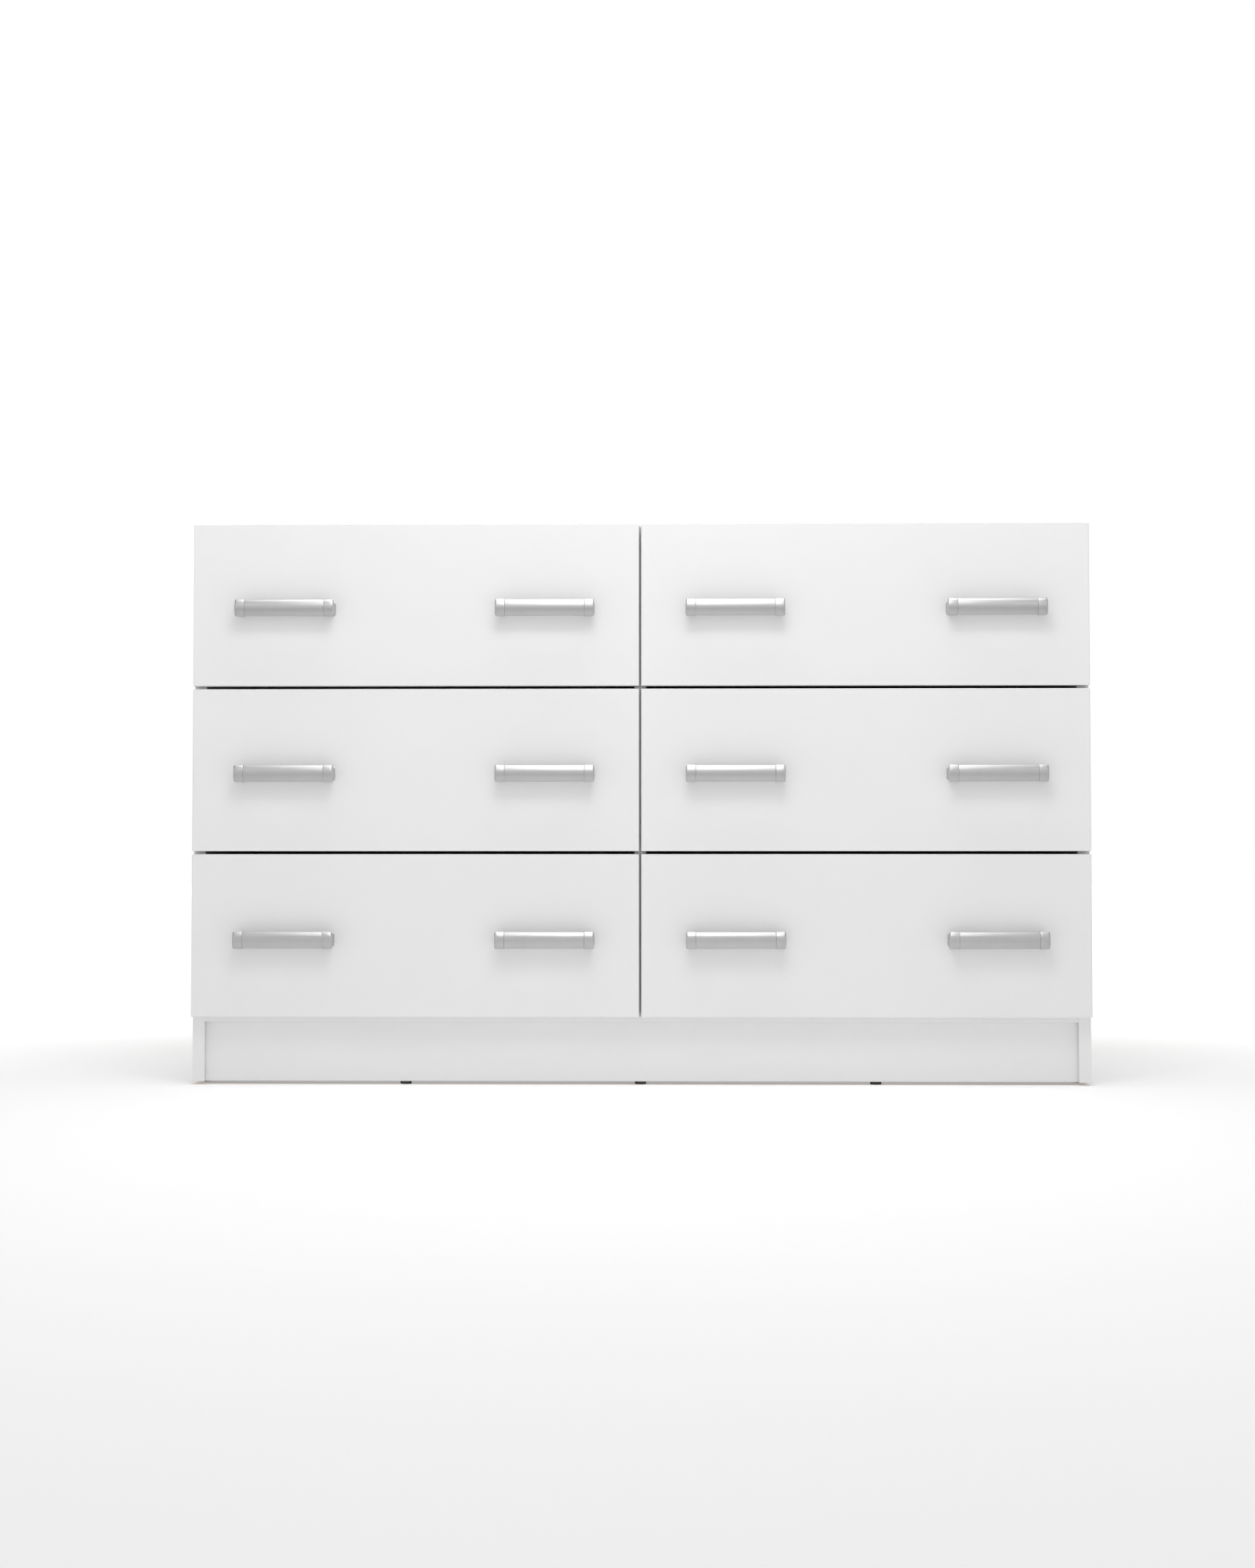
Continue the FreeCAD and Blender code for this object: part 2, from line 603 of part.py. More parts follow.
def floor_glides(holes):
    """The nail-in glides, adding their pin holes by board."""
    solids = []
    for name, x, y in glide_places():
        disc = rod(GLIDE_RADIUS, V(x, y, 0), V(x, y, GLIDE_HEIGHT))
        rim = [e for e in disc.Edges if e.isClosed() and abs(e.BoundBox.ZMax) < 0.01]
        disc = disc.makeFillet(1.0, rim)
        tip = V(x, y, GLIDE_HEIGHT + GLIDE_PIN_LENGTH)
        pin = rod(GLIDE_PIN_RADIUS, V(x, y, GLIDE_HEIGHT - 1), tip)
        solids.append(disc.fuse(pin).removeSplitter())
        hole = rod(GLIDE_PIN_RADIUS + HOLE_CLEARANCE, V(x, y, 0), tip + Z * HOLE_CLEARANCE)
        holes[name].append(hole)
    return solids


def carcass_boards():
    """The carcass boards before drilling, by name."""
    boards = {"top_panel": board(-HALF, HALF, Y_CARCASS, Y_REAR, TOP_UNDERSIDE, HEIGHT),
              "base_panel": board(-INNER, INNER, Y_CARCASS, Y_REAR, PLINTH_TOP, BASE_TOP),
              "centre_partition": board(-BOARD / 2, BOARD / 2, Y_CARCASS, Y_REAR,
                                        BASE_TOP, TOP_UNDERSIDE),
              "front_plinth": board(-INNER, INNER, Y_PLINTH, Y_PLINTH + BOARD,
                                    GLIDE_HEIGHT, PLINTH_TOP),
              "rear_plinth": board(-INNER, INNER, Y_REAR - BOARD, Y_REAR, GLIDE_HEIGHT, PLINTH_TOP),
              "cross_rail": board(-BOARD / 2, BOARD / 2, Y_PLINTH + BOARD, Y_REAR - BOARD,
                                  GLIDE_HEIGHT, PLINTH_TOP)}
    for name, sign in (("side_panel_left", -1), ("side_panel_right", 1)):
        boards[name] = board(sign * INNER, sign * HALF, Y_CARCASS, Y_REAR,
                             GLIDE_HEIGHT, TOP_UNDERSIDE)
    return boards


def back_panels(nail_holes):
    """The two hardboard sheets of the back, and the strip between them."""
    margin = 2.0
    stem = 1.0
    z_low = PLINTH_TOP + margin
    z_high = HEIGHT - margin
    sheets = []
    for sign in (-1, 1):
        sheet = box(sign * stem, sign * (HALF - margin), Y_REAR, Y_REAR + HARDBOARD, z_low, z_high)
        sheets.append(sheet.cut(nail_holes))
    cap = box(-10, 10, Y_REAR + HARDBOARD, Y_REAR + HARDBOARD + STRIP_CAP, z_low, z_high)
    strip = cap.fuse(box(-stem, stem, Y_REAR, Y_REAR + HARDBOARD, z_low, z_high))
    return sheets, strip.removeSplitter()


def make_cabinet():
    """Write the nodes that stay still."""
    boards = carcass_boards()
    fasteners, holes = carcass_cams()
    dowels = partition_dowels(holes)
    screws, pilot = runner_screws(holes)
    nails, nail_holes = back_nails(holes)
    save("floor_glides", floor_glides(holes))
    for name in ("top_panel", "base_panel", "centre_partition", "front_plinth", "rear_plinth",
                 "cross_rail", "side_panel_left", "side_panel_right"):
        boards[name] = drilled(boards[name], holes.get(name, []))
    for name in ("top_panel", "base_panel", "centre_partition", "front_plinth",
                 "side_panel_left", "side_panel_right"):
        save(name, [boards[name]])
    save("rear_plinth_and_rail", [boards["rear_plinth"], boards["cross_rail"]])
    sheets, strip = back_panels(nail_holes)
    save("back_panels", sheets)
    save("back_joining_strip", [strip])
    tracks = []
    for row in range(len(ROWS)):
        z = FRONTS_BOTTOM + row * FRONT_PITCH + RUNNER_RISE
        for _, column in COLUMNS:
            for panel_x, inward in drawer_panels(column):
                member, axle = cabinet_track(panel_x, inward, z)
                tracks += [member.cut(pilot[round(panel_x + inward, 2)]), axle]
    save("cabinet_runners", tracks)
    save("cabinet_fasteners", fasteners + dowels + screws + nails)


def main():
    os.makedirs("parts", exist_ok=True)
    make_cabinet()
    for index, row in enumerate(ROWS):
        z = FRONTS_BOTTOM + index * FRONT_PITCH
        for column_name, column in COLUMNS:
            make_drawer(row, column_name, column, z)


main()
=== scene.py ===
import math
import bmesh
import bpy
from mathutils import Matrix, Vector


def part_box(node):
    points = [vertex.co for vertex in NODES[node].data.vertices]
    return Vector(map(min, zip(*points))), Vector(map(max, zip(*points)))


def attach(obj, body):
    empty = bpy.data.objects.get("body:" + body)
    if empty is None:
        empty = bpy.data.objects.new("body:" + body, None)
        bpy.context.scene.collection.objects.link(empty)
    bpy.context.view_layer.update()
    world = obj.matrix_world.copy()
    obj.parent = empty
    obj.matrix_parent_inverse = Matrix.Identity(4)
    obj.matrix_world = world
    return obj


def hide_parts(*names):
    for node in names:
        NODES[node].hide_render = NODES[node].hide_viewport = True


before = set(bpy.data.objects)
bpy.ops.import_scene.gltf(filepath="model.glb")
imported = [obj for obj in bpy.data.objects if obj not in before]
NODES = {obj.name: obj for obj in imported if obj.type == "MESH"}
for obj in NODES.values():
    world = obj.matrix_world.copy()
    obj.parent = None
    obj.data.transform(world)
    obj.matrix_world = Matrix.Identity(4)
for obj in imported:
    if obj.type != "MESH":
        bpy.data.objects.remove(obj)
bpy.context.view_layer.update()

# ------------------------------------------------------------ named values

ROWS = ("bottom", "middle", "top")
SIDES = ("left", "right")
DRAWERS = ["drawer_%s_%s" % (row, side) for row in ROWS for side in SIDES]

# Directions, and how square to one a face has to be to count as facing it
DOWN = (0, 0, -1)
REAR = (0, 1, 0)
SQUARE_ON = 0.9

# Edge banding, in metres: its thickness, and the width of the seam beside it
BAND = 0.001
BAND_SEAM = 0.00018

# Board colours: the fronts and the carcass at their palest and darkest, and the boxes
WHITE = (0.80, 0.80, 0.80)
WHITE_LOW = (0.775, 0.775, 0.775)
WHITE_BOX = (0.76, 0.76, 0.755)
SEAM_COLOUR = (0.45, 0.44, 0.42)

# Handle, in metres: the overall length and the parts that the frame can't give
HANDLE_LENGTH = 0.132
BAR_HEIGHT = 0.022
BAR_DEPTH = 0.010
BAR_DOME = 0.005
BAR_SETBACK = 0.0005
CAP_LENGTH = 0.013
CAP_MARGIN = 0.0005
LEG_HALF = (0.0055, 0.0080)
FOOT_HALF = (0.0065, 0.0098)
FOOT_FLARE = 0.0045
LEG_CORNER = 0.003
FOOT_CORNER = 0.004
RIM = 0.00045
CAP_END = 0.0024
EDGE_CORNER = 0.0012
BACK_CORNER = 0.0014
LEAST_CORNER = 0.0003

# The handle's second material, which its end pieces have
CAST_SLOT = 1

# How finely the handle's curves are cut
DOME_STEPS = 32
CORNER_STEPS = 6
RIM_STEPS = 5
LEG_CORNER_STEPS = 8
FOOT_STEPS = 10
SMOOTH_BELOW = math.radians(40)

# Camera: place in metres, direction in degrees, lens and sensor in millimetres
CAMERA_PLACE = (0.032, -3.087, 0.293)
CAMERA_YAW = -0.965
CAMERA_PITCH = 2.142
CAMERA_LENS = 49.96
CAMERA_SENSOR = 36.0

# Lights: name, place, target and size in metres, and power in watts
LIGHTS = (("left_softbox", (-1.9, -2.9, 3.0), (0.0, -0.2, 0.4), (1.0, 1.0), 5.9),
          ("right_softbox", (1.9, -2.9, 3.0), (0.0, -0.2, 0.4), (1.0, 1.0), 5.9),
          ("overhead", (0.0, -1.2, 1.7), (0.0, -0.35, 0.4), (0.8, 0.5), 6.0),
          ("top_strip", (0.0, -0.42, 1.9), (0.0, -0.3, 0.4), (1.6, 0.4), 6.0),
          ("near_light", (0.0, -1.0, 1.25), (0.0, -0.19, 0.6), (0.6, 0.5), 0.5))

# Brightness of the surroundings before, behind, above and straight above the chest,
# and where one passes into the next, as parts of a unit direction
FRONT_LEVEL = 0.8
BACK_LEVEL = 0.7
TOP_LEVEL = 0.25
ZENITH_LEVEL = 0.9
FRONT_TO_BACK = (-0.5, 0.1)
LOW_TO_TOP = (0.35, 0.65)
TOP_TO_ZENITH = (0.8, 0.95)

# The floor's own light near the chest and at the horizon, the circle between the two,
# and the part of it that reflections show
FLOOR_GLOW = 0.22
HORIZON_GLOW = 0.6
FLOOR_REFLECTED = 0.0
GLOW_MIDDLE = (0.0, -1.2, 0.0)
GLOW_RADII = (1.2, 2.6)
FLOOR_REACH = 30.0


# --------------------------------------------------------------- materials


class Shader:
    """A material under construction, with short calls for its nodes."""

    def __init__(self, name, roughness=0.5, metallic=0.0, specular=0.5):
        self.material = bpy.data.materials.new(name)
        self.material.use_nodes = True
        self.tree = self.material.node_tree
        self.surface = self.tree.nodes["Principled BSDF"]
        self.surface.inputs["Roughness"].default_value = roughness
        self.surface.inputs["Metallic"].default_value = metallic
        self.surface.inputs["Specular IOR Level"].default_value = specular
        self.place = self.tree.nodes.new("ShaderNodeTexCoord").outputs["Object"]

    def link(self, source, socket):
        """Feed a socket from an output, or set it from a plain value."""
        if isinstance(source, bpy.types.NodeSocket):
            self.tree.links.new(source, socket)
        else:
            socket.default_value = source

    def math(self, operation, first, second=0.0, clamp=False):
        node = self.tree.nodes.new("ShaderNodeMath")
        node.operation = operation
        node.use_clamp = clamp
        self.link(first, node.inputs[0])
        self.link(second, node.inputs[1])
        return node.outputs[0]

    def ramp(self, value, low, high):
        """0 below low and 1 above high, with a smooth step between."""
        node = self.tree.nodes.new("ShaderNodeMapRange")
        node.interpolation_type = "SMOOTHSTEP"
        self.link(value, node.inputs["Value"])
        node.inputs["From Min"].default_value = low
        node.inputs["From Max"].default_value = high
        return node.outputs["Result"]

    def spread(self, value, low, high):
        """A 0 to 1 value spread over another range."""
        node = self.tree.nodes.new("ShaderNodeMapRange")
        self.link(value, node.inputs["Value"])
        node.inputs["To Min"].default_value = low
        node.inputs["To Max"].default_value = high
        return node.outputs["Result"]

    def stretched(self, scale):
        """The object place, scaled by its own factor along each axis."""
        node = self.tree.nodes.new("ShaderNodeMapping")
        self.link(self.place, node.inputs["Vector"])
        node.inputs["Scale"].default_value = scale
        return node.outputs["Vector"]

    def noise(self, scale, detail=2.0, roughness=0.5, vector=None):
        node = self.tree.nodes.new("ShaderNodeTexNoise")
        self.link(vector or self.place, node.inputs["Vector"])
        node.inputs["Scale"].default_value = scale
        node.inputs["Detail"].default_value = detail
        node.inputs["Roughness"].default_value = roughness
        return node.outputs["Fac"]

    def cells(self, scale):
        """Small cells, as three values that differ from one cell to the next."""
        node = self.tree.nodes.new("ShaderNodeTexVoronoi")
        self.link(self.place, node.inputs["Vector"])
        node.inputs["Scale"].default_value = scale
        split = self.tree.nodes.new("ShaderNodeSeparateColor")
        self.link(node.outputs["Color"], split.inputs[0])
        return split.outputs

    def mix(self, factor, first, second):
        """A colour between two, which may be outputs or plain RGB."""
        node = self.tree.nodes.new("ShaderNodeMix")
        node.data_type = "RGBA"
        self.link(factor, node.inputs[0])
        for value, socket in ((first, node.inputs[6]), (second, node.inputs[7])):
            self.link(value if isinstance(value, bpy.types.NodeSocket) else (*value, 1.0), socket)
        return node.outputs[2]

    def colours(self, value, stops):
        """A colour ramp with the given (position, RGB) stops."""
        node = self.tree.nodes.new("ShaderNodeValToRGB")
        elements = node.color_ramp.elements
        while len(elements) < len(stops):
            elements.new(0.5)
        for element, (position, colour) in zip(elements, stops):
            element.position = position
            element.color = (*colour, 1.0)
        self.link(value, node.inputs["Fac"])
        return node.outputs["Color"]

    def axes(self):
        """The object place split into X, Y and Z."""
        node = self.tree.nodes.new("ShaderNodeSeparateXYZ")
        self.link(self.place, node.inputs[0])
        return node.outputs

    def facing(self, direction):
        """1 where the surface's own normal points along a direction."""
        coordinates = self.tree.nodes.new("ShaderNodeTexCoord")
        node = self.tree.nodes.new("ShaderNodeVectorMath")
        node.operation = "DOT_PRODUCT"
        self.link(coordinates.outputs["Normal"], node.inputs[0])
        node.inputs[1].default_value = direction
        return self.math("GREATER_THAN", node.outputs["Value"], SQUARE_ON)

    def bump(self, height, distance, strength):
        node = self.tree.nodes.new("ShaderNodeBump")
        node.inputs["Strength"].default_value = strength
        node.inputs["Distance"].default_value = distance
        self.link(height, node.inputs["Height"])
        self.link(node.outputs["Normal"], self.surface.inputs["Normal"])

    def colour(self, value):
        socket = self.surface.inputs["Base Color"]
        self.link(value if isinstance(value, bpy.types.NodeSocket) else (*value, 1.0), socket)

    def roughness(self, value):
        self.link(value, self.surface.inputs["Roughness"])


def chipboard_colour(shader):
    """The raw edge of a board: pressed chips, pale to brown."""
    chips = shader.cells(520.0)
    chip = shader.colours(chips[0], ((0.0, (0.20, 0.12, 0.06)), (0.45, (0.42, 0.29, 0.17)),
                                     (0.8, (0.58, 0.43, 0.27)), (1.0, (0.70, 0.56, 0.38))))
    dust = shader.noise(260.0, 4.0, 0.6)
    return shader.mix(shader.spread(dust, 0.0, 0.55), chip, (0.47, 0.34, 0.21))


def board_material(node, thickness_axis, raw=(), low=WHITE_LOW, high=WHITE):
    """Coated chipboard with banded edges; raw lists the directions of bare edges."""
    shader = Shader("melamine_" + node, 0.42, 0.0, 0.4)
    lowest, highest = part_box(node)
    place = shader.axes()
    edge = None
    for axis in range(3):
        if axis == thickness_axis:
            continue
        middle = (lowest[axis] + highest[axis]) / 2
        half = (highest[axis] - lowest[axis]) / 2
        offset = shader.math("ABSOLUTE", shader.math("SUBTRACT", place[axis], middle))
        distance = shader.math("SUBTRACT", half, offset)
        edge = distance if edge is None else shader.math("MINIMUM", edge, distance)
    banded = shader.math("SUBTRACT", 1.0, shader.ramp(edge, BAND - BAND_SEAM, BAND))
    seam = shader.math("MULTIPLY", shader.ramp(edge, BAND - 2 * BAND_SEAM, BAND - BAND_SEAM),
                       shader.math("SUBTRACT", 1.0, shader.ramp(edge, BAND, BAND + BAND_SEAM)))
    mottle = shader.noise(9.0, 3.0, 0.55)
    paper = shader.mix(mottle, low, high)
    tinted = shader.mix(shader.math("MULTIPLY", banded, 0.5), paper, WHITE)
    colour = shader.mix(shader.math("MULTIPLY", seam, 0.35), tinted, SEAM_COLOUR)
    grain = shader.noise(900.0, 2.0, 0.5)
    pores = shader.noise(2600.0, 1.0, 0.5)
    surface = shader.math("ADD", grain, shader.math("MULTIPLY", pores, 0.35))
    rough = shader.spread(mottle, 0.38, 0.47)
    if raw:
        bare = None
        for direction in raw:
            here = shader.facing(direction)
            bare = here if bare is None else shader.math("MAXIMUM", bare, here)
        colour = shader.mix(bare, colour, chipboard_colour(shader))
        rough = shader.math("ADD", rough, shader.math("MULTIPLY", bare, 0.45), clamp=True)
        chips = shader.noise(500.0, 3.0, 0.6)
        surface = shader.math("ADD", surface, shader.math(
            "MULTIPLY", shader.math("MULTIPLY", chips, bare), 6.0))
    shader.colour(colour)
    shader.roughness(rough)
    shader.bump(surface, 0.00003, 0.5)
    return shader.material


def hardboard_material(node, bare_direction):
    """Hardboard, painted white on one face and bare on the other."""
    shader = Shader("hardboard_" + node, 0.6, 0.0, 0.3)
    bare = shader.facing(bare_direction)
    fibres = shader.noise(420.0, 5.0, 0.65)
    cloud = shader.noise(14.0, 3.0, 0.6)
    brown = shader.mix(fibres, (0.215, 0.135, 0.075), (0.36, 0.245, 0.15))
    brown = shader.mix(shader.math("MULTIPLY", cloud, 0.4), brown, (0.30, 0.20, 0.12))
    paint = shader.mix(cloud, (0.74, 0.74, 0.73), (0.78, 0.78, 0.77))
    shader.colour(shader.mix(bare, paint, brown))
    shader.roughness(shader.spread(bare, 0.48, 0.8))
    weave = shader.noise(1100.0, 1.0, 0.4)
    shader.bump(shader.math("ADD", fibres, weave), 0.00008, 0.5)
    return shader.material


def aluminium_material():
    """Satin anodised aluminium, with fine lines drawn along the bar."""
    shader = Shader("satin_aluminium", 0.4, 1.0)
    lines = shader.noise(1.0, 3.0, 0.6, shader.stretched((18.0, 3800.0, 3800.0)))
    cloud = shader.noise(60.0, 2.0, 0.5)
    shader.colour(shader.mix(shader.math("ADD", shader.math("MULTIPLY", lines, 0.6),
                                         shader.math("MULTIPLY", cloud, 0.4)),
                             (0.51, 0.51, 0.515), (0.63, 0.63, 0.635)))
    shader.roughness(shader.spread(lines, 0.34, 0.48))
    shader.bump(lines, 0.000006, 0.6)
    return shader.material


def cap_material():
    """The handle's cast end pieces: the same silver, with a fine blasted grain."""
    shader = Shader("silver_cast", 0.4, 1.0)
    grain = shader.noise(3200.0, 2.0, 0.5)
    cloud = shader.noise(70.0, 2.0, 0.5)
    shader.colour(shader.mix(cloud, (0.52, 0.52, 0.525), (0.62, 0.62, 0.625)))
    shader.roughness(shader.spread(grain, 0.34, 0.48))
    shader.bump(grain, 0.00001, 0.5)
    return shader.material


def coated_steel_material():
    """White powder coating on the runners, rubbed grey where rollers run."""
    shader = Shader("powder_coated_steel", 0.38, 0.0, 0.5)
    peel = shader.noise(700.0, 2.0, 0.5)
    rub = shader.ramp(shader.noise(1.0, 3.0, 0.6, shader.stretched((60.0, 6.0, 60.0))), 0.52, 0.72)
    shader.colour(shader.mix(shader.math("MULTIPLY", rub, 0.35), (0.78, 0.78, 0.765),
                             (0.55, 0.55, 0.54)))
    shader.roughness(shader.spread(rub, 0.34, 0.5))
    shader.bump(peel, 0.00004, 0.6)
    return shader.material


def zinc_material():
    """Zinc plating, with its faint crystalline spangle."""
    shader = Shader("zinc_plate", 0.35, 1.0)
    spangle = shader.cells(900.0)
    shader.colour(shader.mix(spangle[0], (0.50, 0.50, 0.49), (0.68, 0.68, 0.66)))
    shader.roughness(shader.spread(spangle[1], 0.28, 0.45))
    shader.bump(shader.noise(1800.0, 2.0), 0.00001, 0.5)
    return shader.material


def plastic_material(name, dark, light, roughness):
    """Moulded plastic with a fine texture and slight unevenness."""
    shader = Shader(name, roughness, 0.0, 0.5)
    cloud = shader.noise(120.0, 2.0, 0.5)
    shader.colour(shader.mix(cloud, dark, light))
    shader.roughness(shader.spread(cloud, roughness - 0.05, roughness + 0.08))
    shader.bump(shader.noise(2200.0, 2.0), 0.00002, 0.5)
    return shader.material


def floor_material():
    """A pale floor with a soft glow, which grows to white away from the front."""
    shader = Shader("pale_floor", 0.6, 0.0, 0.2)
    cloud = shader.noise(2.5, 3.0, 0.5)
    shader.colour(shader.mix(cloud, (0.89, 0.89, 0.89), (0.91, 0.91, 0.91)))
    shader.bump(shader.noise(180.0, 2.0), 0.0001, 0.2)
    away = shader.tree.nodes.new("ShaderNodeVectorMath")
    away.operation = "DISTANCE"
    shader.link(shader.place, away.inputs[0])
    away.inputs[1].default_value = GLOW_MIDDLE
    glow = shader.spread(shader.ramp(away.outputs["Value"], *GLOW_RADII), FLOOR_GLOW, HORIZON_GLOW)
    path = shader.tree.nodes.new("ShaderNodeLightPath")
    dimmed = shader.spread(path.outputs["Is Glossy Ray"], 1.0, FLOOR_REFLECTED)
    shader.surface.inputs["Emission Color"].default_value = (1, 1, 1, 1)
    shader.link(shader.math("MULTIPLY", glow, dimmed), shader.surface.inputs["Emission Strength"])
    return shader.material


def dress(node, material):
    """Give a CAD node its material."""
    mesh = NODES[node].data
    mesh.materials.clear()
    mesh.materials.append(material)


def dress_cabinet():
    for side in SIDES:
        node = "side_panel_" + side
        dress(node, board_material(node, 0, (DOWN, REAR)))
    dress("top_panel", board_material("top_panel", 2, (REAR,)))
    dress("base_panel", board_material("base_panel", 2, (REAR,)))
    dress("centre_partition", board_material("centre_partition", 0, (REAR,)))
    dress("front_plinth", board_material("front_plinth", 1, (DOWN,)))
    dress("rear_plinth_and_rail", board_material("rear_plinth_and_rail", 1, (DOWN,)))
    dress("back_panels", hardboard_material("back_panels", REAR))
    white_plastic = plastic_material("white_strip", (0.76, 0.76, 0.75), (0.80, 0.80, 0.79), 0.35)
    dress("back_joining_strip", white_plastic)
    dark_plastic = plastic_material("dark_glide", (0.018, 0.018, 0.019), (0.032, 0.032, 0.033), 0.5)
    dress("floor_glides", dark_plastic)
    dress("cabinet_runners", STEEL)
    dress("cabinet_fasteners", ZINC)


def dress_drawers():
    nylon = plastic_material("nylon", (0.76, 0.76, 0.74), (0.82, 0.82, 0.80), 0.4)
    for name in DRAWERS:
        dress(name + "_front", board_material(name + "_front", 1))
        dress(name + "_box", board_material(name + "_box", 0, (), WHITE_BOX, WHITE_BOX))
        dress(name + "_bottom", hardboard_material(name + "_bottom", DOWN))
        dress(name + "_runners", STEEL)
        dress(name + "_fittings", ZINC)
        dress(name + "_rear_rollers", nylon)
        dress(name + "_front_rollers", nylon)


# ----------------------------------------------------------------- handles


def loft(mesh, rings):
    """Skin a row of rings, each a list of points, and close both ends."""
    loops = [[mesh.verts.new(point) for point in ring] for ring in rings]
    mesh.faces.new(loops[0][::-1])
    mesh.faces.new(loops[-1])
    for near, far in zip(loops, loops[1:]):
        for k in range(len(near)):
            after = (k + 1) % len(near)
            mesh.faces.new((near[k], near[after], far[after], far[k]))


def arc(x, middle_y, middle_z, radius, start, end, steps):
    """Points of an arc across X, by the angle up from straight ahead."""
    points = []
    for step in range(steps + 1):
        angle = start + (end - start) * step / steps
        points.append((x, middle_y - radius * math.cos(angle), middle_z + radius * math.sin(angle)))
    return points


def domed_section(x, inset, margin=0.0):
    """The bar's section at x, shrunk all round by inset and grown by margin."""
    reach = BAR_HEIGHT / 2 + margin - inset
    front = BAR_SETBACK - margin + inset
    dome = BAR_DOME + margin - inset
    back = BAR_SETBACK + BAR_DEPTH - inset
    edge = max(EDGE_CORNER - inset, LEAST_CORNER)
    corner = max(BACK_CORNER - inset, LEAST_CORNER)
    radius = ((reach - edge) ** 2 + dome ** 2 - edge ** 2) / (2 * (dome - edge))
    turn = math.asin((reach - edge) / (radius - edge))
    quarter = math.pi / 2
    low_edge = arc(x, front + dome, edge - reach, edge, -quarter, -turn, CORNER_STEPS)
    face = arc(x, front + radius, 0, radius, -turn, turn, DOME_STEPS)
    high_edge = arc(x, front + dome, reach - edge, edge, turn, quarter, CORNER_STEPS)
    high_back = arc(x, back - corner, reach - corner, corner, quarter, 2 * quarter, CORNER_STEPS)
    low_back = arc(x, back - corner, corner - reach, corner, -2 * quarter, -quarter, CORNER_STEPS)
    return low_edge + face[1:-1] + high_edge + high_back + low_back


def rim_steps(radius):
    """(distance back from the end, inset) pairs that round a rim."""
    pairs = []
    for step in range(RIM_STEPS + 1):
        angle = math.pi / 2 * step / RIM_STEPS
        pairs.append((radius * (1 - math.sin(angle)), radius * (1 - math.cos(angle))))
    return pairs[::-1]


def bar_rings(x0, x1, margin, first, last):
    """Sections from x0 to x1, with its first and last rims of these radii."""
    low = [domed_section(x0 + back, inset, margin) for back, inset in rim_steps(first)]
    high = [domed_section(x1 - back, inset, margin) for back, inset in rim_steps(last)]
    return low + high[::-1]


def rounded_ring(y, half_width, half_height, corner):
    """A rounded rectangle across Y."""
    points = []
    for quadrant, (sx, sz) in enumerate(((1, 1), (-1, 1), (-1, -1), (1, -1))):
        for step in range(LEG_CORNER_STEPS + 1):
            angle = math.pi / 2 * (quadrant + step / LEG_CORNER_STEPS)
            points.append((sx * (half_width - corner) + corner * math.cos(angle), y,
                           sz * (half_height - corner) + corner * math.sin(angle)))
    return points


def leg_rings(y_start, y_face):
    """The leg from inside the cap to its flared foot on the drawer front."""
    rings = [rounded_ring(y_start, *LEG_HALF, LEG_CORNER)]
    for step in range(FOOT_STEPS + 1):
        along = step / FOOT_STEPS
        swell = 1 - math.sqrt(1 - along ** 2)
        half = [leg + (foot - leg) * swell for leg, foot in zip(LEG_HALF, FOOT_HALF)]
        y = y_face - FOOT_FLARE * (1 - along)
        rings.append(rounded_ring(y, *half, LEG_CORNER + (FOOT_CORNER - LEG_CORNER) * swell))
    return rings


def solid_from(rings, name):
    """A mesh object skinned from rings."""
    mesh = bmesh.new()
    loft(mesh, rings)
    bmesh.ops.recalc_face_normals(mesh, faces=mesh.faces)
    data = bpy.data.meshes.new(name)
    mesh.to_mesh(data)
    mesh.free()
    made = bpy.data.objects.new(name, data)
    bpy.context.scene.collection.objects.link(made)
    return made


def united(first, second):
    """The mesh of two overlapping solids made one; both objects are removed."""
    union = first.modifiers.new("union", "BOOLEAN")
    union.operation = "UNION"
    union.solver = "EXACT"
    union.object = second
    graph = bpy.context.evaluated_depsgraph_get()
    data = bpy.data.meshes.new_from_object(first.evaluated_get(graph))
    for used in (first, second):
        bpy.data.objects.remove(used)
    return data


def handle_mesh(projection):
    """One handle round its own middle, with its foot at Y = projection."""
    half = HANDLE_LENGTH / 2
    cap = solid_from(bar_rings(half - CAP_LENGTH, half, CAP_MARGIN, RIM, CAP_END), "cap")
    leg = solid_from(leg_rings(BAR_DEPTH / 2, projection), "leg")
    leg.location.x = half - CAP_LENGTH / 2
    post = united(cap, leg)
    mesh = bmesh.new()
    loft(mesh, bar_rings(CAP_LENGTH - half, half - CAP_LENGTH, 0.0, RIM, RIM))
    for sign in (1, -1):
        first_vertex = len(mesh.verts)
        first_face = len(mesh.faces)
        mesh.from_mesh(post)
        mesh.verts.ensure_lookup_table()
        mesh.faces.ensure_lookup_table()
        for vertex in mesh.verts[first_vertex:]:
            vertex.co.x *= sign
        for face in mesh.faces[first_face:]:
            face.material_index = CAST_SLOT
    bmesh.ops.recalc_face_normals(mesh, faces=mesh.faces)
    data = bpy.data.meshes.new("handle")
    mesh.to_mesh(data)
    mesh.free()
    data.materials.append(ALUMINIUM)
    data.materials.append(CAST)
    data.shade_smooth()
    data.set_sharp_from_angle(angle=SMOOTH_BELOW)
    return data


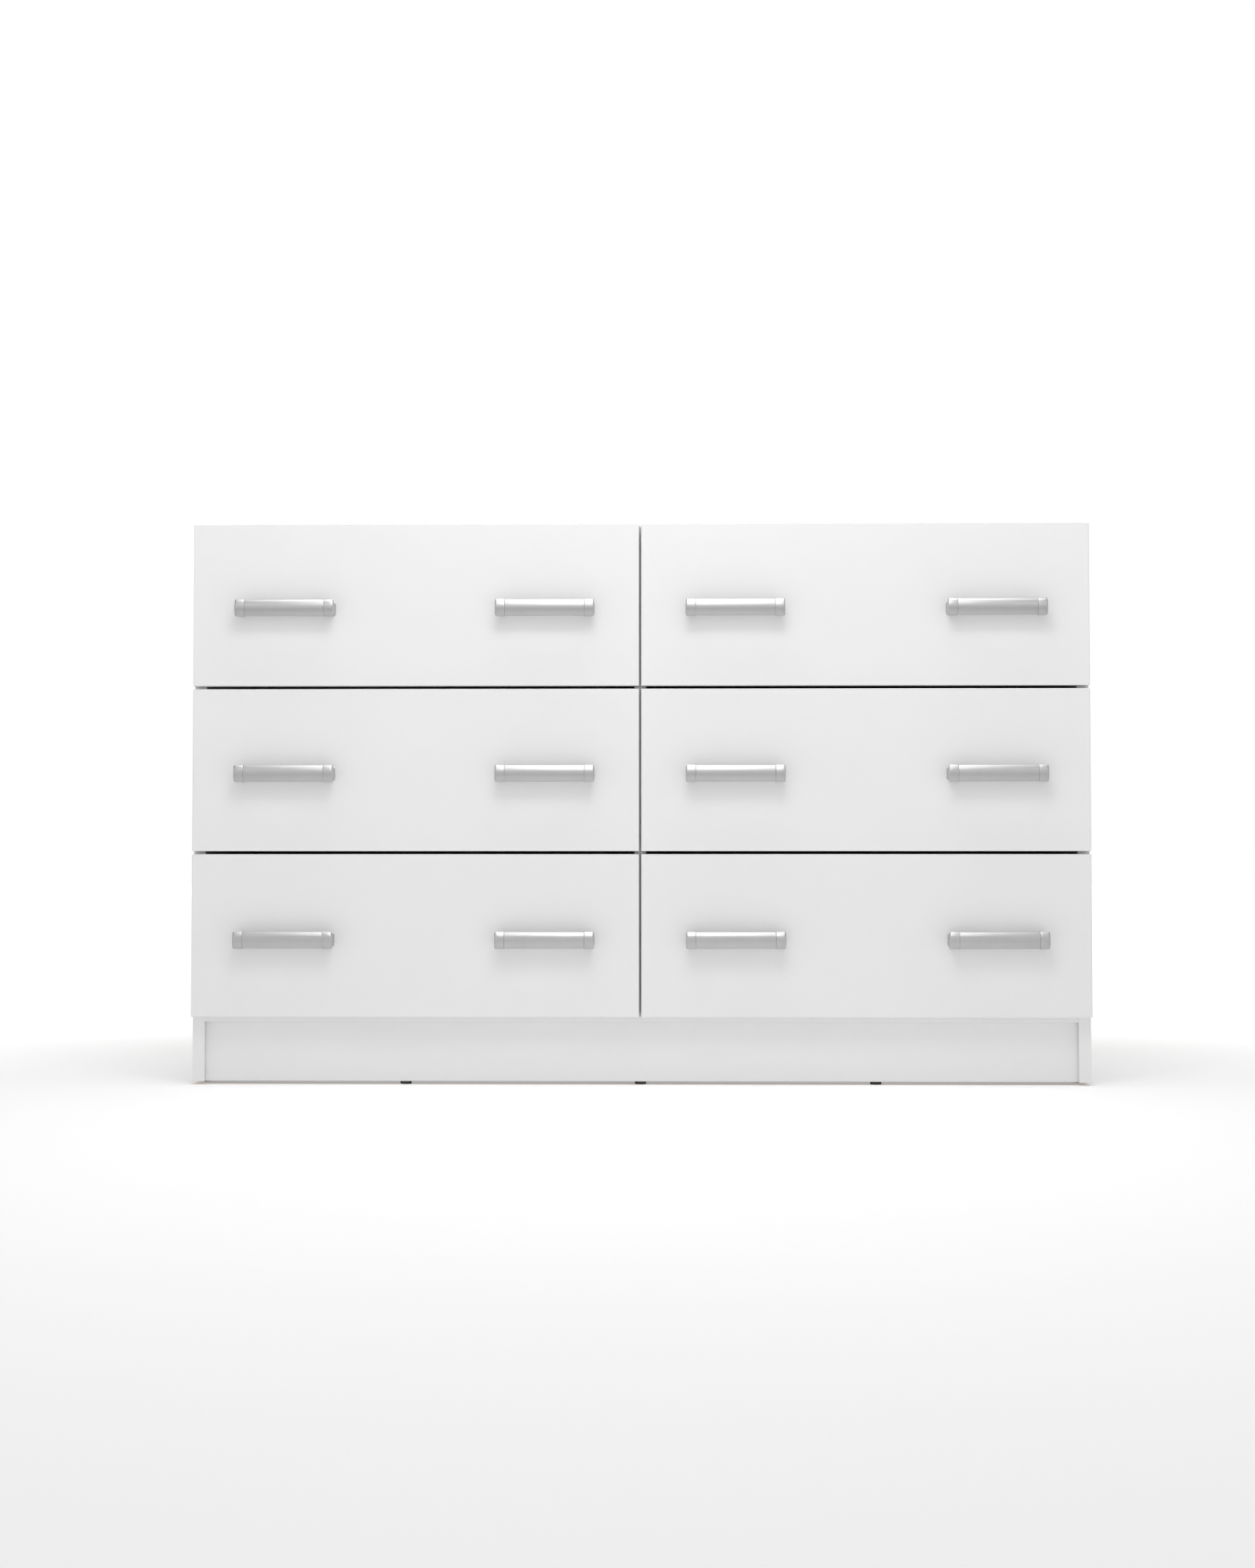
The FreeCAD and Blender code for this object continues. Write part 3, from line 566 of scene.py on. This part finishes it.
def make_handles():
    """Two handles for each drawer, in place of the plain ones."""
    low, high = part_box(DRAWERS[0] + "_handles")
    data = handle_mesh(high.y - low.y)
    for name in DRAWERS:
        low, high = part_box(name + "_handles")
        for side, x in (("left", low.x + HANDLE_LENGTH / 2), ("right", high.x - HANDLE_LENGTH / 2)):
            handle = bpy.data.objects.new("%s_%s_handle" % (name, side), data)
            bpy.context.scene.collection.objects.link(handle)
            handle.location = (x, low.y, (low.z + high.z) / 2)
            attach(handle, name)
            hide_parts(name + "_handles")


# ------------------------------------------------------------------- stage


def make_floor():
    mesh = bmesh.new()
    bmesh.ops.create_grid(mesh, x_segments=8, y_segments=8, size=FLOOR_REACH)
    data = bpy.data.meshes.new("floor")
    mesh.to_mesh(data)
    mesh.free()
    floor = bpy.data.objects.new("floor", data)
    bpy.context.scene.collection.objects.link(floor)
    data.materials.append(floor_material())


def make_camera():
    camera = bpy.data.objects.new("camera", bpy.data.cameras.new("camera"))
    bpy.context.scene.collection.objects.link(camera)
    camera.location = CAMERA_PLACE
    camera.rotation_euler = (math.radians(90 + CAMERA_PITCH), 0, math.radians(-CAMERA_YAW))
    camera.data.lens = CAMERA_LENS
    camera.data.sensor_width = CAMERA_SENSOR
    bpy.context.scene.camera = camera


def make_light(name, place, target, size, power):
    """A soft rectangular light that the camera doesn't see."""
    light = bpy.data.objects.new(name, bpy.data.lights.new(name, "AREA"))
    bpy.context.scene.collection.objects.link(light)
    light.location = place
    light.rotation_euler = (Vector(target) - Vector(place)).to_track_quat("-Z", "Y").to_euler()
    light.data.shape = "RECTANGLE"
    light.data.size, light.data.size_y = size
    light.data.energy = power
    light.visible_camera = False


def make_world():
    """Soft surrounds before, behind, above and straight above, and a plain white view."""
    world = bpy.data.worlds.new("surround")
    bpy.context.scene.world = world
    world.use_nodes = True
    tree = world.node_tree
    nodes = tree.nodes
    nodes.clear()
    place = nodes.new("ShaderNodeTexCoord").outputs["Generated"]
    split = nodes.new("ShaderNodeSeparateXYZ")
    tree.links.new(place, split.inputs[0])

    def between(source, band, low, high):
        node = nodes.new("ShaderNodeMapRange")
        node.interpolation_type = "SMOOTHSTEP"
        tree.links.new(source, node.inputs["Value"])
        node.inputs["From Min"].default_value = band[0]
        node.inputs["From Max"].default_value = band[1]
        for value, name in ((low, "To Min"), (high, "To Max")):
            if isinstance(value, bpy.types.NodeSocket):
                tree.links.new(value, node.inputs[name])
            else:
                node.inputs[name].default_value = value
        return node.outputs["Result"]

    level = between(split.outputs["Y"], FRONT_TO_BACK, FRONT_LEVEL, BACK_LEVEL)
    upper = between(split.outputs["Z"], TOP_TO_ZENITH, TOP_LEVEL, ZENITH_LEVEL)
    strength = between(split.outputs["Z"], LOW_TO_TOP, level, upper)
    lit = nodes.new("ShaderNodeBackground")
    tree.links.new(strength, lit.inputs["Strength"])
    lit.inputs["Color"].default_value = (1, 1, 1, 1)
    seen = nodes.new("ShaderNodeBackground")
    seen.inputs["Color"].default_value = (1, 1, 1, 1)
    path = nodes.new("ShaderNodeLightPath")
    choose = nodes.new("ShaderNodeMixShader")
    tree.links.new(path.outputs["Is Camera Ray"], choose.inputs[0])
    tree.links.new(lit.outputs[0], choose.inputs[1])
    tree.links.new(seen.outputs[0], choose.inputs[2])
    output = nodes.new("ShaderNodeOutputWorld")
    tree.links.new(choose.outputs[0], output.inputs["Surface"])


STEEL = coated_steel_material()
ZINC = zinc_material()
ALUMINIUM = aluminium_material()
CAST = cap_material()

make_camera()
dress_cabinet()
dress_drawers()
make_handles()
make_floor()
for light in LIGHTS:
    make_light(*light)
make_world()
bpy.context.scene.view_settings.view_transform = "Standard"
